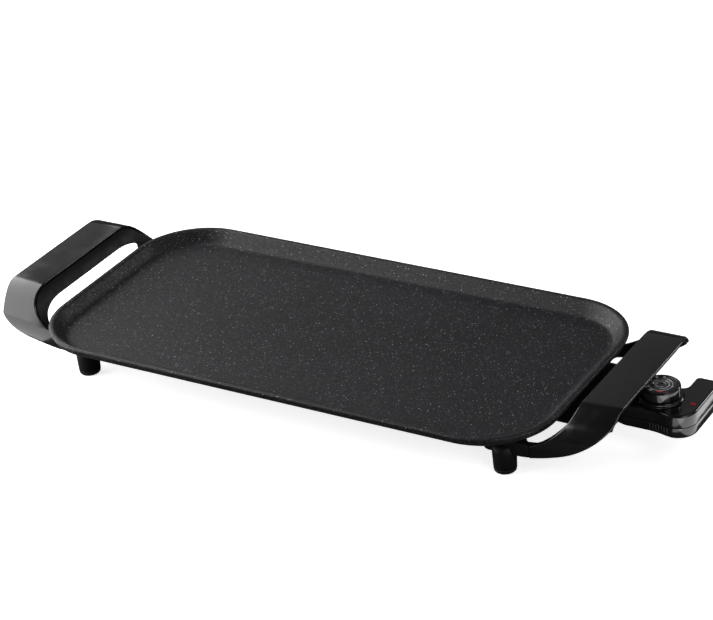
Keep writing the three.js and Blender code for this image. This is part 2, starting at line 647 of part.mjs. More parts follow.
function add(name, body, look, place = {}) {
  const mesh = new THREE.Mesh(geometryOf(body), new THREE.MeshStandardMaterial(look));
  mesh.name = name;
  mesh.position.set(place.x ?? 0, place.y ?? 0, 0);
  group.add(mesh);
}

add('griddle_plate', griddlePlate(), { color: 0x2b2c30, roughness: 0.5, metalness: 0.3 });
add('heating_element', sweep(elementPath(TERMINAL_X), circle(ELEMENT_RADIUS)), STEEL);
for (const [name, y] of [['front', -PIN_Y], ['back', PIN_Y]]) {
  add(`terminal_insulator_${name}`, insulator(y), CERAMIC);
  add(`terminal_pin_${name}`, terminalPin(y), STEEL);
  add(`pin_receptacle_${name}`, receptacle(y), BRASS);
}
add('probe_guide', probeGuide(), STEEL);
add('socket_shroud', socketShroud(), MATT_PLASTIC);
for (const { name, x, y } of shroudScrews) {
  add(`shroud_screw_${name}`, shroudScrew(), STEEL, { x, y });
}
add('handle_cover_right', handleCover(RIGHT_HANDLE), BLACK_PLASTIC);
add('handle_cover_left', mirror(handleCover(LEFT_HANDLE), 'x'), BLACK_PLASTIC);
add('handle_frame_right', handleFrame(RIGHT_HANDLE), MATT_PLASTIC);
add('handle_frame_left', mirror(handleFrame(LEFT_HANDLE), 'x'), MATT_PLASTIC);
for (const [side, x] of [['right', COVER_SCREW.x], ['left', -COVER_SCREW.x]]) {
  for (const [end, y] of [['front', -COVER_SCREW.y], ['back', COVER_SCREW.y]]) {
    add(`cover_screw_${side}_${end}`, coverScrew(), STEEL, { x, y });
  }
}
for (const { name, x, y } of footPlaces) {
  add(`foot_tip_${name}`, footTip(), { color: 0x26262a, roughness: 0.85, metalness: 0 }, { x, y });
  add(`handle_screw_${name}`, handleScrew(), STEEL, { x, y });
  add(`handle_washer_${name}`, handleWasher(), STEEL, { x, y });
}

add('controller_lower_housing', lowerHousing(), BLACK_PLASTIC);
add('controller_upper_housing', upperHousing(), BLACK_PLASTIC);
controlScrews.forEach(({ x, y }, i) => add(`controller_screw_${i + 1}`, controlScrew(), STEEL, { x, y }));
add('contact_block', contactBlock(), { color: 0x33302c, roughness: 0.6, metalness: 0 });
add('sensing_probe', sensingProbe(), STEEL);
add('blade_stack', bladeStack(), CERAMIC);
add('fixed_contact_blade', fixedBlade(), BRASS);
add('moving_contact_blade', movingBlade(), BRASS);
add('dial_spindle', spindle(), STEEL);
add('dial_scale_ring', scaleRing(), MATT_PLASTIC);
add('dial_knob', dialKnob(), BLACK_PLASTIC);
add('dial_face', dialFace(), { color: 0x3a3b3e, roughness: 0.4, metalness: 0.4 });
add('indicator_lens', lens(), { color: 0xc01818, roughness: 0.2, metalness: 0 });
add('indicator_lamp', lamp(), { color: 0xd8d0c8, roughness: 0.15, metalness: 0 });
add('cord_gland', cordGland(), MATT_PLASTIC);

export default group;
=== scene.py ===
import bmesh
import bpy
import json
import math
from mathutils import Matrix, Vector


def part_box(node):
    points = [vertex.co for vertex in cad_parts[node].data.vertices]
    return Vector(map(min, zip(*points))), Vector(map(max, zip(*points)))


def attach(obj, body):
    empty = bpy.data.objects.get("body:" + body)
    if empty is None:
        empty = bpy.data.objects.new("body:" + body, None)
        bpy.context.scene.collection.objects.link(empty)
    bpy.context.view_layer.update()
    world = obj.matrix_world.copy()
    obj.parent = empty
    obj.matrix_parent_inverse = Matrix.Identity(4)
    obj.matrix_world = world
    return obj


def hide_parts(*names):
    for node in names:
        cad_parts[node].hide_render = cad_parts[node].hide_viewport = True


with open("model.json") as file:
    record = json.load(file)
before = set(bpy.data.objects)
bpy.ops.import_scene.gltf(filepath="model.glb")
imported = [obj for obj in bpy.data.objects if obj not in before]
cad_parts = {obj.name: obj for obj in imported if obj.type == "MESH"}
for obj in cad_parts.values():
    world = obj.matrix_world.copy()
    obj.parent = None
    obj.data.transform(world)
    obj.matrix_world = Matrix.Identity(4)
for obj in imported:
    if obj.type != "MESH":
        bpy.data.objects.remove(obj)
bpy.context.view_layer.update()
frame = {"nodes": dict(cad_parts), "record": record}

# Shapes are in millimetres: x from the plate's centre, y to the back, z up from the floor.
# make() turns them into the frame's metres. Lights, floor and camera are in metres.
MM_PER_M = 1000
plate_low, plate_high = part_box("griddle_plate")
PLATE_X = (plate_low[0] + plate_high[0]) / 2


# ------------------------------------------------------------------ materials
def material(name):
    mat = bpy.data.materials.new(name)
    mat.use_nodes = True
    nodes, links = mat.node_tree.nodes, mat.node_tree.links
    nodes.clear()
    out = nodes.new("ShaderNodeOutputMaterial")
    shader = nodes.new("ShaderNodeBsdfPrincipled")
    links.new(shader.outputs[0], out.inputs[0])
    coord = nodes.new("ShaderNodeTexCoord")
    return mat, nodes, links, shader, coord.outputs["Object"]


def noise(nodes, links, vector, scale, detail, stretch=None):
    if stretch:
        mapping = nodes.new("ShaderNodeMapping")
        mapping.inputs["Scale"].default_value = stretch
        links.new(vector, mapping.inputs["Vector"])
        vector = mapping.outputs[0]
    tex = nodes.new("ShaderNodeTexNoise")
    tex.inputs["Scale"].default_value = scale
    tex.inputs["Detail"].default_value = detail
    links.new(vector, tex.inputs["Vector"])
    return tex.outputs["Fac"]


def ramp(nodes, links, value, *stops):
    """A colour between two stops of (position, colour)."""
    node = nodes.new("ShaderNodeValToRGB")
    for element, (position, color) in zip(node.color_ramp.elements, stops):
        element.position = position
        element.color = (*color, 1)
    links.new(value, node.inputs[0])
    return node.outputs[0]


def spread(nodes, links, value, low, high, start=0.35, end=0.65):
    """Maps a value from start..end to low..high."""
    node = nodes.new("ShaderNodeMapRange")
    node.inputs["From Min"].default_value = start
    node.inputs["From Max"].default_value = end
    node.inputs["To Min"].default_value = low
    node.inputs["To Max"].default_value = high
    links.new(value, node.inputs["Value"])
    return node.outputs[0]


def bump(nodes, links, shader, height, strength, distance):
    node = nodes.new("ShaderNodeBump")
    node.inputs["Strength"].default_value = strength
    node.inputs["Distance"].default_value = distance
    links.new(height, node.inputs["Height"])
    links.new(node.outputs[0], shader.inputs["Normal"])


MOTTLE_SCALE, HANDLING_SCALE, GRAIN_DISTANCE = 38, 90, 0.00012


def moulded(name, dark, light, rough, grain, depth, specular=0.5, metallic=0.0):
    """Moulded plastic or rubber: faint mottling, fine grain and handling marks in the gloss."""
    mat, nodes, links, shader, where = material(name)
    cloud = noise(nodes, links, where, MOTTLE_SCALE, 4)
    links.new(ramp(nodes, links, cloud, (0.35, dark), (0.65, light)), shader.inputs["Base Color"])
    marks = noise(nodes, links, where, HANDLING_SCALE, 5)
    links.new(spread(nodes, links, marks, rough - 0.05, rough + 0.06), shader.inputs["Roughness"])
    bump(nodes, links, shader, noise(nodes, links, where, grain, 2), depth, GRAIN_DISTANCE)
    shader.inputs["Specular IOR Level"].default_value = specular
    shader.inputs["Metallic"].default_value = metallic
    return mat


DRAWN_SCALE, DRAWN_STRETCH = 260, (1, 18, 18)


def brushed(name, dark, light, rough):
    """Drawn or plated metal with fine lines along its length."""
    mat, nodes, links, shader, where = material(name)
    lines = noise(nodes, links, where, DRAWN_SCALE, 4, DRAWN_STRETCH)
    links.new(ramp(nodes, links, lines, (0.3, dark), (0.7, light)), shader.inputs["Base Color"])
    links.new(spread(nodes, links, lines, rough - 0.06, rough + 0.1), shader.inputs["Roughness"])
    bump(nodes, links, shader, lines, 0.1, 0.00005)
    shader.inputs["Metallic"].default_value = 1
    return mat


# cells per metre, dot size within its cell, where the chosen cells start, tint, opacity
SPECKS = [
    (1100, 0.36, 0.50, (0.055, 0.057, 0.065), 0.85),
    (640, 0.30, 0.66, (0.125, 0.127, 0.137), 0.95),
    (380, 0.19, 0.74, (0.33, 0.33, 0.35), 0.95),
    (620, 0.26, 0.80, (0.004, 0.004, 0.005), 0.9),
]
COATING_DARK, COATING_LIGHT = (0.0058, 0.0060, 0.0068), (0.0098, 0.0100, 0.0112)


def stone_coating():
    """Dark non-stick coating with fine pale specks of three sizes and a few black ones."""
    mat, nodes, links, shader, where = material("stone_coating")
    cloud = noise(nodes, links, where, 14, 5)
    color = ramp(nodes, links, cloud, (0.3, COATING_DARK), (0.7, COATING_LIGHT))
    for scale, size, share, tint, amount in SPECKS:
        cells = nodes.new("ShaderNodeTexVoronoi")
        cells.inputs["Scale"].default_value = scale
        links.new(where, cells.inputs["Vector"])
        chosen = nodes.new("ShaderNodeSeparateColor")
        links.new(cells.outputs["Color"], chosen.inputs[0])
        dot = spread(nodes, links, cells.outputs["Distance"], 1, 0, size * 0.6, size)
        pick = spread(nodes, links, chosen.outputs[0], 0, amount, share, share + 0.04)
        both = nodes.new("ShaderNodeMath")
        both.operation = "MULTIPLY"
        links.new(dot, both.inputs[0])
        links.new(pick, both.inputs[1])
        mix = nodes.new("ShaderNodeMix")
        mix.data_type = "RGBA"
        mix.inputs["B"].default_value = (*tint, 1)
        links.new(both.outputs[0], mix.inputs["Factor"])
        links.new(color, mix.inputs["A"])
        color = mix.outputs["Result"]
    links.new(color, shader.inputs["Base Color"])
    uneven = noise(nodes, links, where, 420, 4)
    links.new(spread(nodes, links, uneven, 0.40, 0.56), shader.inputs["Roughness"])
    bump(nodes, links, shader, noise(nodes, links, where, 700, 3), 0.22, 0.00025)
    shader.inputs["Specular IOR Level"].default_value = 0.24
    return mat


def red_lens():
    """Tinted clear plastic, cloudy and unlit."""
    mat, nodes, links, shader, where = material("lens_red_plastic")
    cloud = noise(nodes, links, where, 900, 2)
    tint = ramp(nodes, links, cloud, (0.3, (0.16, 0.008, 0.012)), (0.7, (0.30, 0.015, 0.02)))
    links.new(tint, shader.inputs["Base Color"])
    links.new(spread(nodes, links, cloud, 0.12, 0.24), shader.inputs["Roughness"])
    return mat


# Keys are the record's material slots, and the last three are the dial's prints.
LOOKS = {
    "plate_coating": stone_coating(),
    "element_steel": brushed("element_sheath", (0.20, 0.20, 0.205), (0.34, 0.335, 0.33), 0.42),
    "steel": brushed("plated_steel", (0.46, 0.46, 0.47), (0.66, 0.66, 0.67), 0.3),
    "brass": brushed("contact_brass", (0.50, 0.36, 0.15), (0.68, 0.52, 0.25), 0.3),
    "ceramic": moulded("ceramic_white", (0.62, 0.60, 0.55), (0.78, 0.76, 0.70),
                       rough=0.62, grain=900, depth=0.3),
    "handle_gloss": moulded("handle_gloss_black", (0.0042, 0.0042, 0.0046),
                            (0.0062, 0.0062, 0.0066), rough=0.16, grain=1500, depth=0.05),
    "handle_matte": moulded("handle_matt_black", (0.0065, 0.0065, 0.007),
                            (0.0105, 0.0105, 0.011), rough=0.5, grain=1300, depth=0.3,
                            specular=0.18),
    "foot_rubber": moulded("foot_rubber_black", (0.010, 0.010, 0.0105), (0.018, 0.018, 0.019),
                           rough=0.7, grain=900, depth=0.35, specular=0.3),
    "controller_gloss": moulded("controller_gloss_black", (0.0040, 0.0040, 0.0042),
                                (0.0064, 0.0064, 0.0066), rough=0.13, grain=1500, depth=0.05),
    "controller_matte": moulded("controller_matt_black", (0.008, 0.008, 0.0085),
                                (0.013, 0.013, 0.0135), rough=0.42, grain=1300, depth=0.25,
                                specular=0.22),
    "dial_black": moulded("dial_gloss_black", (0.0045, 0.0045, 0.005), (0.007, 0.007, 0.0075),
                          rough=0.12, grain=1500, depth=0.05),
    "dial_print": moulded("dial_disc_dark", (0.016, 0.016, 0.018), (0.030, 0.030, 0.033),
                          rough=0.24, grain=1200, depth=0.1),
    "phenolic": moulded("phenolic_brown", (0.020, 0.016, 0.013), (0.034, 0.028, 0.022),
                        rough=0.5, grain=900, depth=0.3),
    "lens_red": red_lens(),
    "lamp_glass": moulded("lamp_glass_warm", (0.55, 0.45, 0.40), (0.75, 0.66, 0.60),
                          rough=0.15, grain=900, depth=0.05),
    "silver": moulded("silver_print", (0.42, 0.43, 0.44), (0.60, 0.61, 0.62),
                      rough=0.3, grain=1200, depth=0.08, metallic=0.6),
    "white": moulded("white_print", (0.72, 0.72, 0.72), (0.85, 0.85, 0.85),
                     rough=0.45, grain=1200, depth=0.08),
    "red": moulded("red_print", (0.30, 0.015, 0.02), (0.42, 0.025, 0.03),
                   rough=0.4, grain=1200, depth=0.08),
}

for part in frame["record"]["subparts"]:
    node = frame["nodes"][part["node"]]
    node.data.materials.clear()
    node.data.materials.append(LOOKS[part["material_slot"]])


# ------------------------------------------------------------------ mesh tools
def bezier(p0, p1, p2, p3, steps):
    points = []
    for i in range(steps + 1):
        t = i / steps
        weights = ((1 - t) ** 3, 3 * (1 - t) ** 2 * t, 3 * (1 - t) * t * t, t ** 3)
        points.append(tuple(sum(w * p[k] for w, p in zip(weights, (p0, p1, p2, p3)))
                            for k in (0, 1)))
    return points


def curve_at(points, value, by=1, want=0):
    """Reads one coordinate of a polyline at a given value of the other."""
    ordered = sorted(points, key=lambda p: p[by])
    if value <= ordered[0][by]:
        return ordered[0][want]
    for a, b in zip(ordered, ordered[1:]):
        if value <= b[by]:
            t = (value - a[by]) / max(b[by] - a[by], 1e-9)
            return a[want] + t * (b[want] - a[want])
    return ordered[-1][want]


def rounded(points, radius, steps, closed=False):
    """A polyline with its corners turned into small arcs."""
    result = []
    count = len(points)
    for i, here in enumerate(points):
        if not closed and i in (0, count - 1):
            result.append(here)
            continue
        before, after = points[i - 1], points[(i + 1) % count]
        sides = []
        for other in (before, after):
            gap = math.dist(here, other)
            cut = min(radius, gap * 0.45)
            sides.append(tuple(h + (o - h) * cut / max(gap, 1e-9)
                               for h, o in zip(here, other)))
        for step in range(steps + 1):
            t = step / steps
            result.append(tuple((1 - t) ** 2 * a + 2 * (1 - t) * t * h + t * t * b
                                for a, h, b in zip(sides[0], here, sides[1])))
    return result


def evenly_spaced(points, count):
    """The same polyline with its points at equal distances along it."""
    lengths = [0]
    for a, b in zip(points, points[1:]):
        lengths.append(lengths[-1] + math.dist(a, b))
    table = [(d, *p) for d, p in zip(lengths, points)]
    return [tuple(curve_at(table, lengths[-1] * i / count, 0, k) for k in (1, 2))
            for i in range(count + 1)]


def turn_angles(steps):
    return [2 * math.pi * i / steps for i in range(steps)]


def loft(rings, closed=False):
    """A skin over rings of points: capped at both ends, or joined end to end."""
    verts = [p for ring in rings for p in ring]
    size, count, faces = len(rings[0]), len(rings), []
    for i in range(count if closed else count - 1):
        a, b = i * size, ((i + 1) % count) * size
        faces += [(a + j, a + (j + 1) % size, b + (j + 1) % size, b + j) for j in range(size)]
    if not closed:
        faces.append(tuple(range(size))[::-1])
        faces.append(tuple(range((count - 1) * size, count * size)))
    return verts, faces


def lathe(x, y, profile, steps=64):
    """Turns a profile of (radius, z) about a vertical axis."""
    return loft([[(x + radius * math.cos(a), y + radius * math.sin(a), z)
                  for a in turn_angles(steps)] for radius, z in profile])


def mirrored(shape, sign):
    """The same shape, or its mirror image left to right."""
    verts, faces = shape
    return [(sign * x, y, z) for x, y, z in verts], faces


def make(name, shape, look, stands_for=None, body="base", sharp=38):
    """A piece of the visual model; edges turning more than sharp degrees stay crisp."""
    verts, faces = shape
    mesh = bpy.data.meshes.new(name)
    mesh.from_pydata([(x / MM_PER_M + PLATE_X, y / MM_PER_M, z / MM_PER_M)
                      for x, y, z in verts], [], faces)
    work = bmesh.new()
    work.from_mesh(mesh)
    bmesh.ops.remove_doubles(work, verts=work.verts, dist=1e-6)
    bmesh.ops.dissolve_degenerate(work, edges=work.edges, dist=1e-6)
    bmesh.ops.recalc_face_normals(work, faces=work.faces)
    work.to_mesh(mesh)
    work.free()
    mesh.polygons.foreach_set("use_smooth", [True] * len(mesh.polygons))
    mesh.set_sharp_from_angle(angle=math.radians(sharp))
    piece = bpy.data.objects.new(name, mesh)
    bpy.context.scene.collection.objects.link(piece)
    mesh.materials.append(LOOKS[look])
    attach(piece, body)
    if stands_for:
        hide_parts(stands_for)


# ------------------------------------------------------------------ plate
HALF_LENGTH, HALF_WIDTH, PLAN_RADIUS = 240, 120, 63
# The rim's section as (distance in from the outer edge, z), from underneath over to the tray.
RIM_SECTION = [(20, 31), (15, 32.4), (4.5, 39.6), (2.6, 40.2), (0, 45.6), (0.3, 46.8),
               (1.6, 47.5), (4, 47.5), (5.6, 46.6), (11.2, 39.2), (13.8, 36.7), (17.5, 36.0),
               (24, 36.0)]
RIM_STEPS = 40


def rim_ring(inset, z):
    ring, radius = [], PLAN_RADIUS - inset
    for corner in range(4):
        sign_x = 1 if corner in (0, 3) else -1
        sign_y = 1 if corner < 2 else -1
        for i in range(RIM_STEPS + 1):
            a = (corner + i / RIM_STEPS) * math.pi / 2
            ring.append((sign_x * (HALF_LENGTH - PLAN_RADIUS) + radius * math.cos(a),
                         sign_y * (HALF_WIDTH - PLAN_RADIUS) + radius * math.sin(a), z))
    return ring


section = [(40, 31)] + rounded(RIM_SECTION, 1.5, 4)
make("plate_body", loft([rim_ring(inset, z) for inset, z in section]),
     "plate_coating", "griddle_plate", sharp=60)

TUBE_Z, TUBE_RADIUS, GROOVE_RADIUS, BEND_RADIUS = 28.4, 3, 3.3, 14
BEND_STEPS = 10
# The element's run in plan, mirrored front to back.
RUN_RIGHT, RUN_LEFT, RUN_SIDE, TAIL_SIDE = 178, -198, 50, 10
RIB_END, TUBE_END = 205, 226.2


def bent_path(corners, radius):
    path = [Vector(corners[0])]
    for i in range(1, len(corners) - 1):
        here = Vector(corners[i])
        into = (here - Vector(corners[i - 1])).normalized()
        onward = (Vector(corners[i + 1]) - here).normalized()
        centre = here - into * radius + onward * radius
        for step in range(BEND_STEPS + 1):
            a = step / BEND_STEPS * math.pi / 2
            path.append(centre - onward * radius * math.cos(a) + into * radius * math.sin(a))
    path.append(Vector(corners[-1]))
    return path


def sweep_flat(path, section, height):
    """Sweeps a section of (sideways, up) points along a level path."""
    rings = []
    for i, here in enumerate(path):
        ahead = path[min(i + 1, len(path) - 1)] - path[max(i - 1, 0)]
        side = Vector((ahead.y, -ahead.x)).normalized()
        rings.append([(here.x + side.x * u, here.y + side.y * u, height + w)
                      for u, w in section])
    return loft(rings)


def element_path(end_x):
    front = [(end_x, -TAIL_SIDE), (RUN_RIGHT, -TAIL_SIDE), (RUN_RIGHT, -RUN_SIDE),
             (RUN_LEFT, -RUN_SIDE)]
    return bent_path(front + [(x, -y) for x, y in reversed(front)], BEND_RADIUS)


groove = [(GROOVE_RADIUS * math.sin(math.radians(a)), -GROOVE_RADIUS * math.cos(math.radians(a)))
          for a in range(331, 28, -14)]
rib = ([(7, 3.4), (7, -2.2), (6.3, -2.9)] + [(-u, w) for u, w in groove]
       + [(-6.3, -2.9), (-7, -2.2), (-7, 3.4)])
make("plate_rib", sweep_flat(element_path(RIB_END), rib, TUBE_Z),
     "plate_coating", "griddle_plate")
circle = [(TUBE_RADIUS * math.cos(a), TUBE_RADIUS * math.sin(a)) for a in turn_angles(24)]
make("element_tube", sweep_flat(element_path(TUBE_END), circle, TUBE_Z),
     "element_steel", "heating_element")

WELL_X0, WELL_X1, WELL_BORE = 150, 208, 3.9
well_outline = rounded([(-6.2, 32), (-6.2, 23.2), (6.2, 23.2), (6.2, 32)], 1.4, 5, closed=True)
angles = [math.atan2(z - TUBE_Z, y) for y, z in well_outline]
bore = [(WELL_BORE * math.cos(a), TUBE_Z + WELL_BORE * math.sin(a)) for a in angles]
make("probe_well", loft([[(x, y, z) for y, z in outline] for x, outline in (
    (WELL_X0, well_outline), (WELL_X1, well_outline), (WELL_X1, bore), (WELL_X0, bore))],
    closed=True), "plate_coating", "griddle_plate")

# ------------------------------------------------------------------ handles
# The strap is an arch in y and z. Its outermost x is straight down to SWEEP_START.
TOP, FRONT, BACK, CORNER = 62.3, -84, 89, 32
OUTSIDE, SWEEP_START = 293.4, 56
# The shell follows the same arch inside the cover.
COVER_THICKNESS, SHELL_THICKNESS, SHELL_INSET = 2.2, 2.5, 2.5
COVER_LOW, SHELL_LOW, FLANGE_LOW = 18.9, 18.2, 30.7
# Below its straight part the strap's outer edge sweeps in to the arm, as (x, z). The left
# handle's front leg sweeps in lower down than the other three.
HIGH = [(288, 46), (270, 31.5), (250, 25), (238, 21.1)]
LOW = [(291.3, 43), (283, 31), (264, 25.2), (246, 20.8)]
SWEEP_STEPS = 24
INNER_EDGE = bezier((229, FLANGE_LOW), (243, 37), (258.5, 48), (259.5, TOP), 40)
FLANGE_BACK = bezier((228.5, 27.7), (245, 34), (261.5, 46.5), (262.5, TOP), 40)
# The right handle's back leg and the left handle's front leg draw in, as (x, distance from the
# middle along y).
DRAWN_IN_FROM = 50
DRAWN_IN = ([(OUTSIDE, DRAWN_IN_FROM)]
            + bezier((OUTSIDE, 54), (293.2, 62), (289.5, 70), (288, 78), 12) + [(286.5, 95)])
# Between these heights the shell reaches almost to the cover's outer edge. Above and below them
# it stops further in.
SHELL_TOP_FROM, SHELL_FOOT_BELOW = 50.5, 38
SHELL_TOP_OUTSIDE, SHELL_FOOT_OUTSIDE = 291.6, 262
SHELL_INNER_GAP, SHELL_OUTER_GAP, SHELL_FOOT_INSIDE = 0.2, 0.3, 222
LEAST_COVER_WIDTH, LEAST_SHELL_WIDTH = 0.8, 1
# Under the flange the cover's inner edge goes straight from here up to the flange's foot.
COVER_FOOT_X, COVER_FOOT_Z, COVER_FOOT_RUN, COVER_FOOT_RISE = 226, 29, 3, 1.7
# The flange's edge round the opening: in from the leg, and up to the level top.
OPENING_INSET, OPENING_TOP = 4.5, 47.6
FLANGE_STEPS = 40
ARM_LOW, ARM_START, ARM_END, ARM_ROOT = 17.6, 183, 228, 208
ARM_INNER = [(ARM_START, 62), (212, 62)]
# The arm's free end is rounded in plan and from below: how much it draws in, over what length.
TIP_SIDE, TIP_SIDE_RUN, TIP_RISE, TIP_RISE_RUN = 7, 8, 2.6, 4
# Past here the cover's leg lies outside the arm, which steps in to leave room for it.
LEG_STARTS = 225.7
FOOT_X, FOOT_Y = 201.7, 79.4
POST = [(0, 4.3), (9.0, 4.3), (9.35, 4.6), (9.45, 5.2), (9.9, 18.4), (9.8, 20), (9.2, 22),
        (8.0, 23.8), (6.0, 24.8), (0, 24.9)]
TIP = [(0, 0), (7.2, 0), (8.4, 0.35), (9.0, 1.1), (9.3, 2.4), (9.4, 3.7), (9.2, 4.0), (0, 4.0)]
HANDLES = {"right": (1, HIGH), "left": (-1, LOW)}


def outer_edge(edge):
    return ([(OUTSIDE, TOP), (OUTSIDE, SWEEP_START)]
            + bezier((OUTSIDE, SWEEP_START), *edge[:3], SWEEP_STEPS)[1:]
            + bezier(edge[2], edge[3], (226, ARM_LOW), (ARM_ROOT, ARM_LOW), SWEEP_STEPS)[1:])


def arch_stations(inset, low, marks=()):
    """Points round the arch as (y, z, outward y, outward z), from the front leg's foot to the
    back's. The corners get a pair of close points at each height in marks."""
    front, back, top, corner = FRONT + inset, BACK - inset, TOP - inset, CORNER - inset
    rise = 0.9
    heights = [low + i * rise for i in range(int((top - corner - low) / rise) + 1)]
    heights.append(top - corner)
    turn = [i * math.pi / 72 for i in range(1, 36)]
    extra = [math.asin((mark - top + corner) / corner) for mark in marks]
    turn = sorted(turn + [e - 0.002 for e in extra] + [e + 0.002 for e in extra])
    stations = [(front, z, -1, 0) for z in heights]
    stations += [(front + corner - corner * math.cos(a), top - corner + corner * math.sin(a),
                  -math.cos(a), math.sin(a)) for a in turn]
    stations += [(front + corner + (back - front - 2 * corner) * i / 10, top, 0, 1)
                 for i in range(11)]
    stations += [(back - corner + corner * math.cos(a), top - corner + corner * math.sin(a),
                  math.cos(a), math.sin(a)) for a in reversed(turn)]
    return stations + [(back, z, 1, 0) for z in reversed(heights)]


def strap(stations, thickness, limits, edge_radius):
    """A bent strip that follows the arch; limits(y, z) gives where it starts and ends in x."""
    rings = []
    for y, z, ny, nz in stations:
        x0, x1 = limits(y - ny * thickness / 2, z - nz * thickness / 2)
        outline = [(x0, 0), (x1, 0), (x1, thickness), (x0, thickness)]
        ring = rounded(outline, min(edge_radius, (x1 - x0) * 0.4), 4, closed=True)
        rings.append([(x, y - ny * d, z - nz * d) for x, d in ring])
    return loft(rings)


def flange_leg(leg, sign_y):
    """Half of the flange: its edge against the arch and its edge round the opening."""
    def at(value):
        return leg - sign_y * value

    inside = CORNER - SHELL_INSET
    arch = [(at(CORNER - inside * math.cos(i * math.pi / 48)),
             TOP - CORNER + inside * math.sin(i * math.pi / 48)) for i in range(1, 25)]
    outside = [(at(SHELL_INSET), FLANGE_LOW + 0.05)] + arch
    opening = [(at(OPENING_INSET), FLANGE_LOW + 0.05)] + bezier(
        (at(OPENING_INSET), 33), (at(12), 42), (at(24), OPENING_TOP), (at(44), OPENING_TOP), 24)
    return evenly_spaced(outside, FLANGE_STEPS), evenly_spaced(opening, FLANGE_STEPS)


def flange():
    """The flange along the strap's inner edge, between the arch and the opening."""
    front_out, front_in = flange_leg(FRONT, -1)
    back_out, back_in = flange_leg(BACK, 1)
    rings = []
    for outside, opening in zip(front_out + back_out[::-1], front_in + back_in[::-1]):
        width = math.dist(outside, opening)
        across = [(outside[0] + (opening[0] - outside[0]) * t,
                   outside[1] + (opening[1] - outside[1]) * t)
                  for t in (0, 0.25, 0.5, 0.75, 1 - min(0.3, 0.8 / width), 1)]
        near = [(curve_at(INNER_EDGE, z), y, z) for y, z in across]
        far = [(curve_at(FLANGE_BACK, z), y, z) for y, z in across]
        near[-1] = tuple(0.75 * a + 0.25 * b for a, b in zip(near[-1], far[-1]))
        far[-1] = tuple(0.35 * a + 0.65 * b for a, b in zip(near[-1], far[-1]))
        rings.append(near + far[::-1])
    return loft(rings)


def quarter(share):
    """Drop of a quarter circle of radius 1, from 1 at share 0 to 0 at share 1."""
    return 1 - math.sqrt(max(0, 1 - (1 - share) ** 2))


def arm(leg, sign_y, edge):
    """The arm under the plate, from its rounded tip to where it goes into the strap's leg."""
    underside = edge[SWEEP_STEPS + 1:]
    inner_edge = ARM_INNER + [(222, abs(leg) - 5.5), (ARM_END, abs(leg) - 4.5)]
    stops = ([ARM_START + 0.4 * i for i in range(21)] + [193 + 2 * i for i in range(16)]
             + [LEG_STARTS - 0.01, LEG_STARTS + 0.01, ARM_END])
    rings = []
    for x in sorted(stops):
        outer = leg - sign_y * TIP_SIDE * quarter(min(1, (x - ARM_START) / TIP_SIDE_RUN))
        outer -= sign_y * (SHELL_INSET if x > LEG_STARTS else 0)
        inner = curve_at(inner_edge, x, 0, 1) * sign_y
        if x > ARM_ROOT:
            low = curve_at(underside, x, 0, 1)
        else:
            low = ARM_LOW + TIP_RISE * quarter(min(1, (x - ARM_START) / TIP_RISE_RUN))
        ring = rounded([(inner, FLANGE_LOW), (outer, FLANGE_LOW), (outer, low), (inner, low)],
                       1.0, 4, closed=True)
        rings.append([(x, y, z) for y, z in ring])
    return loft(rings)


def handle(side):
    sign, front_edge = HANDLES[side]
    edges = {-1: outer_edge(front_edge), 1: outer_edge(HIGH)}
    cover_name, frame_name = f"handle_cover_{side}", f"handle_frame_{side}"

    def drawn_in(y):
        return y * sign > DRAWN_IN_FROM

    def outer_x(y, z):
        x = curve_at(edges[1 if y > 0 else -1], z)
        return min(x, curve_at(DRAWN_IN, abs(y))) if drawn_in(y) else x

    def cover_limits(y, z):
        if z > FLANGE_LOW:
            inner = curve_at(INNER_EDGE, z)
        else:
            inner = COVER_FOOT_X + COVER_FOOT_RUN * max(0, (z - COVER_FOOT_Z) / COVER_FOOT_RISE)
        return inner, max(outer_x(y, z), inner + LEAST_COVER_WIDTH)

    def shell_limits(y, z):
        if z > FLANGE_LOW:
            inner = curve_at(INNER_EDGE, z) + SHELL_INNER_GAP
        else:
            inner = SHELL_FOOT_INSIDE
        outer = outer_x(y, z) - SHELL_OUTER_GAP
        if z > SHELL_TOP_FROM:
            pulled = OUTSIDE - curve_at(DRAWN_IN, abs(y)) if drawn_in(y) else 0
            outer = SHELL_TOP_OUTSIDE - pulled
        elif z < SHELL_FOOT_BELOW:
            outer = min(outer, SHELL_FOOT_OUTSIDE)
        return inner, max(outer, inner + LEAST_SHELL_WIDTH)

    cover = strap(arch_stations(0, COVER_LOW), COVER_THICKNESS, cover_limits, 0.95)
    make(f"{cover_name}_strap", mirrored(cover, sign), "handle_gloss", cover_name, sharp=50)
    stations = arch_stations(SHELL_INSET, SHELL_LOW, (SHELL_TOP_FROM, SHELL_FOOT_BELOW))
    shell = strap(stations, SHELL_THICKNESS, shell_limits, 0.4)
    make(f"{frame_name}_shell", mirrored(shell, sign), "handle_matte", frame_name, sharp=50)
    make(f"{frame_name}_flange", mirrored(flange(), sign), "handle_matte", frame_name, sharp=50)
    for end, leg, sign_y in (("front", FRONT, -1), ("back", BACK, 1)):
        make(f"{frame_name}_arm_{end}", mirrored(arm(leg, sign_y, edges[sign_y]), sign),
             "handle_matte", frame_name, sharp=50)
        make(f"{frame_name}_post_{end}", lathe(sign * FOOT_X, sign_y * FOOT_Y, POST),
             "handle_matte", frame_name, sharp=50)
        make(f"foot_{side}_{end}", lathe(sign * FOOT_X, sign_y * FOOT_Y, TIP),
             "foot_rubber", f"foot_tip_{side}_{end}", sharp=50)


for side in HANDLES:
    handle(side)


